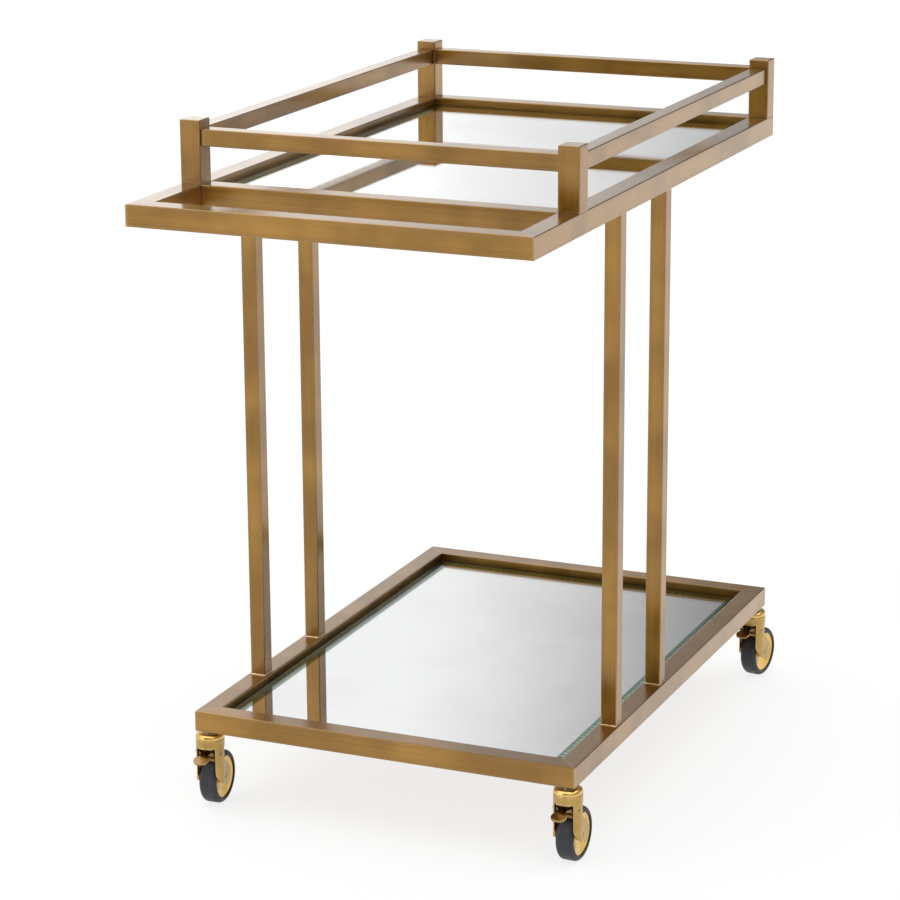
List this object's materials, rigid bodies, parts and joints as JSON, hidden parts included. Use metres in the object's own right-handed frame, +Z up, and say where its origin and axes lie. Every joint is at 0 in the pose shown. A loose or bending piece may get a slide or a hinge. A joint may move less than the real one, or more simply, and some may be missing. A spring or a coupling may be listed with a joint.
{
  "type": "dessert trolley",
  "caption": "Brass tube serving trolley with mirror shelves, a gallery rail round the upper shelf, a front push handle and braked swivel casters.",
  "frame": {"origin": "on the floor, under the middle of the trolley's bounding box", "axes": "+Z up, the push handle is at -Y, +X is to the right of a person who faces the handle"},
  "size_m": [0.485, 0.8534, 0.817],
  "materials": {
    "frame_brass": "brushed and lacquered square tube",
    "panel_brass": "satin sheet",
    "mirror": "silvered glass with a ground bevel",
    "caster_brass": "polished pressings",
    "hub_brass": "turned and polished",
    "tyre_rubber": "smooth moulded rubber",
    "zinc_steel": "zinc plated",
    "nylon": "moulded"
  },
  "bodies": {
    "frame": {"top_side_tube_left": "frame_brass", "top_side_tube_right": "frame_brass", "handle_bar": "frame_brass", "top_back_bar": "frame_brass", "cross_bar": "frame_brass", "lower_side_tube_left": "frame_brass", "lower_side_tube_right": "frame_brass", "lower_front_bar": "frame_brass", "lower_back_bar": "frame_brass", "post_front_left": "frame_brass", "post_front_right": "frame_brass", "post_back_left": "frame_brass", "post_back_right": "frame_brass", "rail_front": "frame_brass", "rail_back": "frame_brass", "rail_left": "frame_brass", "rail_right": "frame_brass", "column_front_left": "frame_brass", "column_front_right": "frame_brass", "column_back_left": "frame_brass", "column_back_right": "frame_brass", "top_mirror": "mirror", "lower_mirror": "mirror", "top_panel": "panel_brass", "lower_panel": "panel_brass", "stem_front_left": "zinc_steel", "stem_front_right": "zinc_steel", "stem_back_left": "zinc_steel", "stem_back_right": "zinc_steel"},
    "swivel_front_left": {"dome_cap_front_left": "caster_brass", "swivel_bush_front_left": "nylon", "fork_front_left": "caster_brass", "axle_front_left": "caster_brass"},
    "wheel_front_left": {"wheel_hub_front_left": "hub_brass", "tyre_front_left": "tyre_rubber"},
    "brake_front_left": {"brake_lever_front_left": "caster_brass"},
    "swivel_front_right": {"dome_cap_front_right": "caster_brass", "swivel_bush_front_right": "nylon", "fork_front_right": "caster_brass", "axle_front_right": "caster_brass"},
    "wheel_front_right": {"wheel_hub_front_right": "hub_brass", "tyre_front_right": "tyre_rubber"},
    "brake_front_right": {"brake_lever_front_right": "caster_brass"},
    "swivel_back_left": {"dome_cap_back_left": "caster_brass", "swivel_bush_back_left": "nylon", "fork_back_left": "caster_brass", "axle_back_left": "caster_brass"},
    "wheel_back_left": {"wheel_hub_back_left": "hub_brass", "tyre_back_left": "tyre_rubber"},
    "brake_back_left": {"brake_lever_back_left": "caster_brass"},
    "swivel_back_right": {"dome_cap_back_right": "caster_brass", "swivel_bush_back_right": "nylon", "fork_back_right": "caster_brass", "axle_back_right": "caster_brass"},
    "wheel_back_right": {"wheel_hub_back_right": "hub_brass", "tyre_back_right": "tyre_rubber"},
    "brake_back_right": {"brake_lever_back_right": "caster_brass"}
  },
  "joints": [
    {"name": "swivel_front_left", "type": "hinge", "parent": "frame", "child": "swivel_front_left", "pos_m": [-0.225, -0.29017, 0.096], "axis": [0, 0, 1], "continuous": true},
    {"name": "wheel_spin_front_left", "type": "hinge", "parent": "swivel_front_left", "child": "wheel_front_left", "pos_m": [-0.22589, -0.2732, 0.0315], "axis": [0.9986, 0.0523, 0], "continuous": true},
    {"name": "brake_front_left", "type": "hinge", "parent": "swivel_front_left", "child": "brake_front_left", "pos_m": [-0.22469, -0.29617, 0.069], "axis": [0.9986, 0.0523, 0], "range_deg": [0, 20]},
    {"name": "swivel_front_right", "type": "hinge", "parent": "frame", "child": "swivel_front_right", "pos_m": [0.225, -0.29017, 0.096], "axis": [0, 0, 1], "continuous": true},
    {"name": "wheel_spin_front_right", "type": "hinge", "parent": "swivel_front_right", "child": "wheel_front_right", "pos_m": [0.22559, -0.27319, 0.0315], "axis": [0.9994, -0.0349, 0], "continuous": true},
    {"name": "brake_front_right", "type": "hinge", "parent": "swivel_front_right", "child": "brake_front_right", "pos_m": [0.22479, -0.29617, 0.069], "axis": [0.9994, -0.0349, 0], "range_deg": [0, 20]},
    {"name": "swivel_back_left", "type": "hinge", "parent": "frame", "child": "swivel_back_left", "pos_m": [-0.225, 0.37783, 0.096], "axis": [0, 0, 1], "continuous": true},
    {"name": "wheel_spin_back_left", "type": "hinge", "parent": "swivel_back_left", "child": "wheel_back_left", "pos_m": [-0.22766, 0.39462, 0.0315], "axis": [0.9877, 0.1564, 0], "continuous": true},
    {"name": "brake_back_left", "type": "hinge", "parent": "swivel_back_left", "child": "brake_back_left", "pos_m": [-0.22406, 0.3719, 0.069], "axis": [0.9877, 0.1564, 0], "range_deg": [0, 20]},
    {"name": "swivel_back_right", "type": "hinge", "parent": "frame", "child": "swivel_back_right", "pos_m": [0.225, 0.37783, 0.096], "axis": [0, 0, 1], "continuous": true},
    {"name": "wheel_spin_back_right", "type": "hinge", "parent": "swivel_back_right", "child": "wheel_back_right", "pos_m": [0.22766, 0.39462, 0.0315], "axis": [0.9877, -0.1564, 0], "continuous": true},
    {"name": "brake_back_right", "type": "hinge", "parent": "swivel_back_right", "child": "brake_back_right", "pos_m": [0.22406, 0.3719, 0.069], "axis": [0.9877, -0.1564, 0], "range_deg": [0, 20]}
  ]
}
